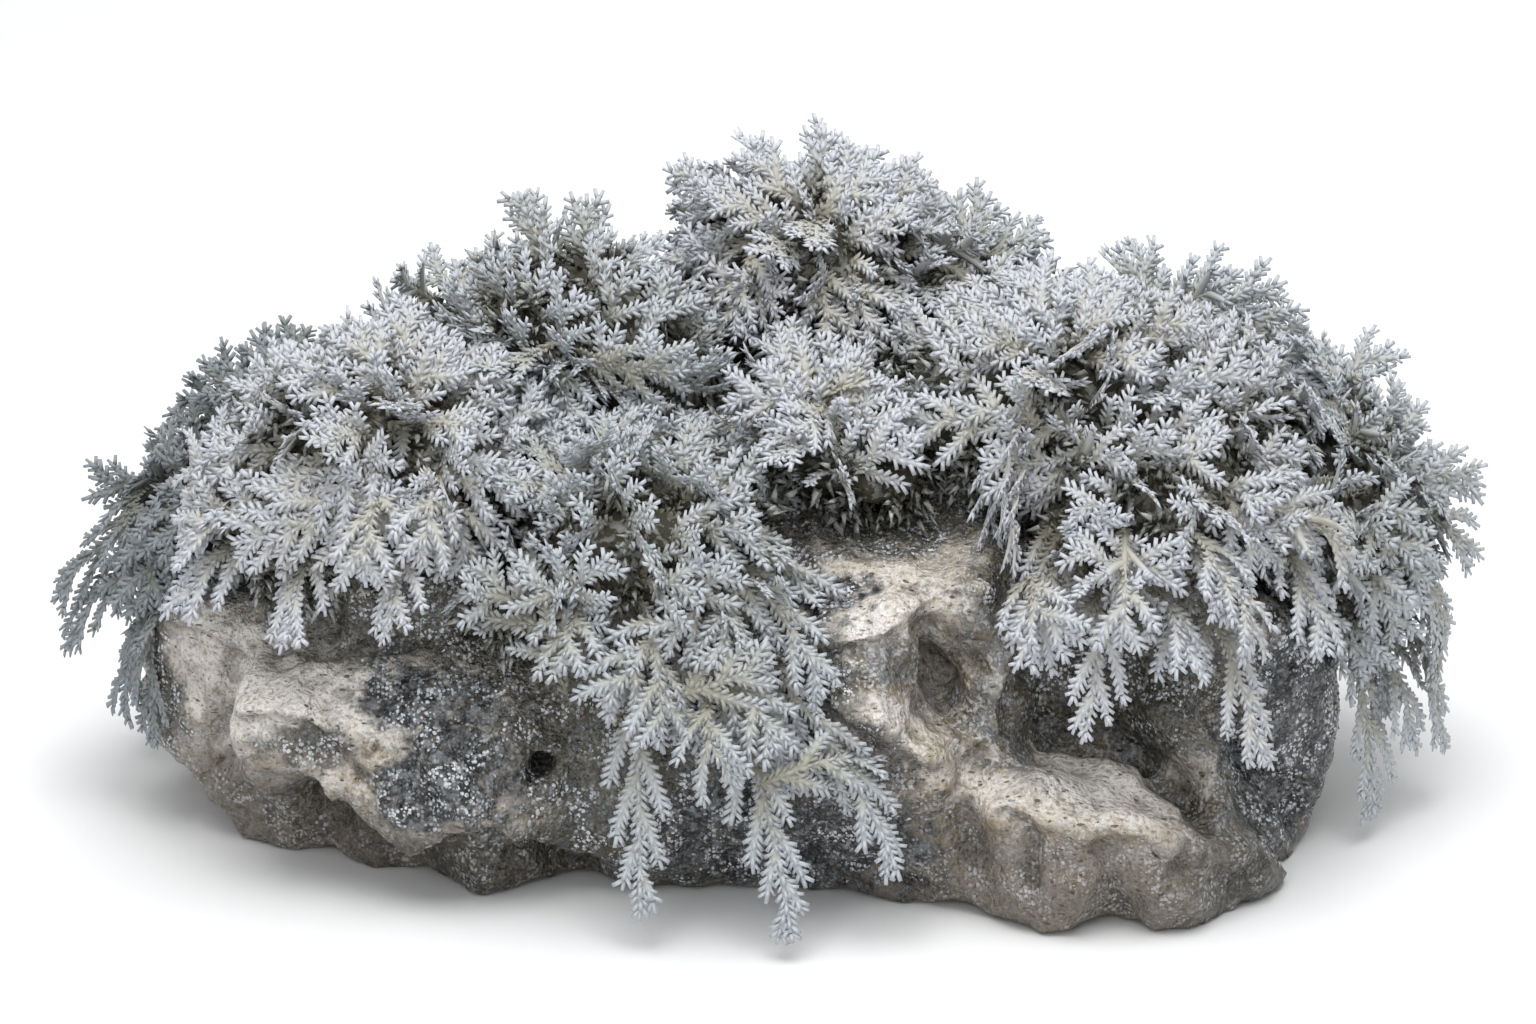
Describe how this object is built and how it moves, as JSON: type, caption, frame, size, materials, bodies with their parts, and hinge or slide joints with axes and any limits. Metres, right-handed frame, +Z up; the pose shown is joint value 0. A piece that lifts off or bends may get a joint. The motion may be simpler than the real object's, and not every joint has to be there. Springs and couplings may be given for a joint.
{
  "type": "moss clump on a stone",
  "caption": "Clump of silvery feather moss spilling in overlapping tufts over a low water-worn stone with a flat resting face.",
  "frame": {"origin": "on the flat resting face under the stone, near the middle of its length", "axes": "+Z up from the resting face; +X along the length of the stone, to the right of someone who faces its front; the front, with the bare stone and the long hanging sprays, faces -Y"},
  "size_m": [0.2009, 0.125, 0.0915],
  "materials": {
    "stone": "satin",
    "moss": "matte"
  },
  "bodies": {
    "root": {"stone": "stone", "left_mound": "moss", "front_drape": "moss", "right_mound": "moss", "middle_tuft": "moss", "upper_left_tuft": "moss", "crown_tuft": "moss", "right_drape": "moss", "left_drape": "moss", "right_back_tuft": "moss", "back_left_tuft": "moss", "back_right_tuft": "moss"}
  },
  "joints": []
}
